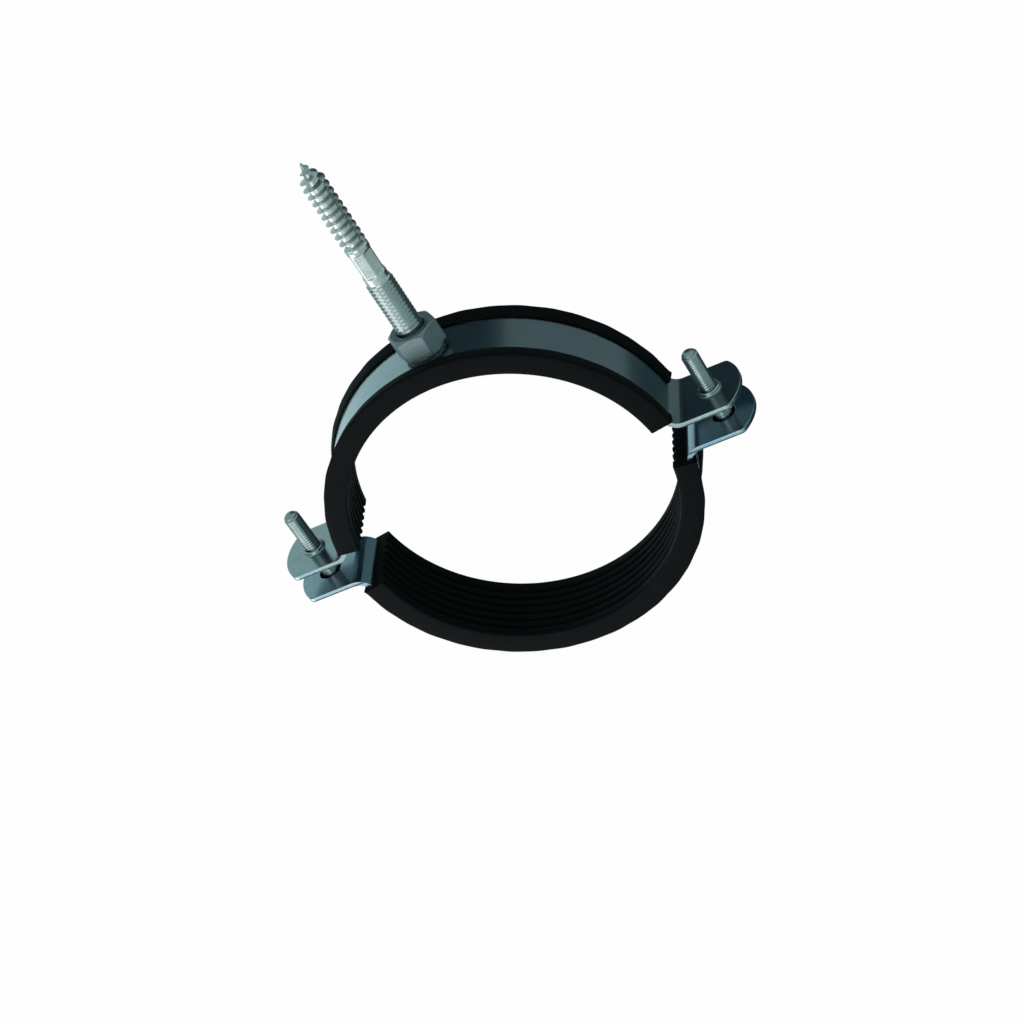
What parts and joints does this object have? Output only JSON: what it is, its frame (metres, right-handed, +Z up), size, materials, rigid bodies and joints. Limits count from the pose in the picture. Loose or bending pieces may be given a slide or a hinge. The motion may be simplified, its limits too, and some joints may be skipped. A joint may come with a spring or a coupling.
{
  "type": "rubber lined pipe clamp",
  "caption": "Two-part steel pipe clamp with ribbed rubber lining, closed by a screw through the lugs on each side, hung on a hanger bolt with a wood thread.",
  "frame": {"origin": "centre of the pipe bore", "axes": "+Z up the hanger bolt, Y along the pipe, X from clamp screw to clamp screw"},
  "size_m": [0.1452, 0.0238, 0.1717],
  "materials": {
    "band_steel": "zinc plated, blue passivated, satin",
    "bolt_steel": "zinc plated, blue passivated, bright",
    "lining_rubber": "matt black EPDM"
  },
  "bodies": {
    "hanger": {"hanger_bolt": "bolt_steel"},
    "upper_half": {"upper_band": "band_steel", "upper_lining": "lining_rubber", "hanger_nut": "band_steel"},
    "lower_half": {"lower_band": "band_steel", "lower_lining": "lining_rubber"},
    "left_screw": {"clamp_screw_left": "bolt_steel"},
    "right_screw": {"clamp_screw_right": "bolt_steel"}
  },
  "joints": [
    {"name": "swivel", "type": "hinge", "parent": "hanger", "child": "upper_half", "pos_m": [0, 0, 0.0566], "axis": [0, 0, 1], "range_deg": [-180, 180]},
    {"name": "clamp_closing", "type": "slide", "parent": "upper_half", "child": "lower_half", "axis": [0, 0, 1], "range_m": [-0.012, 0.0073]},
    {"name": "left_screw_turn", "type": "hinge", "parent": "lower_half", "child": "left_screw", "pos_m": [-0.0633, 0, 0], "axis": [0, 0, 1], "range_deg": [-5400, 3285.1]},
    {"name": "right_screw_turn", "type": "hinge", "parent": "lower_half", "child": "right_screw", "pos_m": [0.0633, 0, 0], "axis": [0, 0, 1], "range_deg": [-5400, 3285.1]}
  ],
  "couplings": [
    {"joint": "left_screw_turn", "follows": "clamp_closing", "rad_per_m": 7854},
    {"joint": "right_screw_turn", "follows": "clamp_closing", "rad_per_m": 7854}
  ]
}
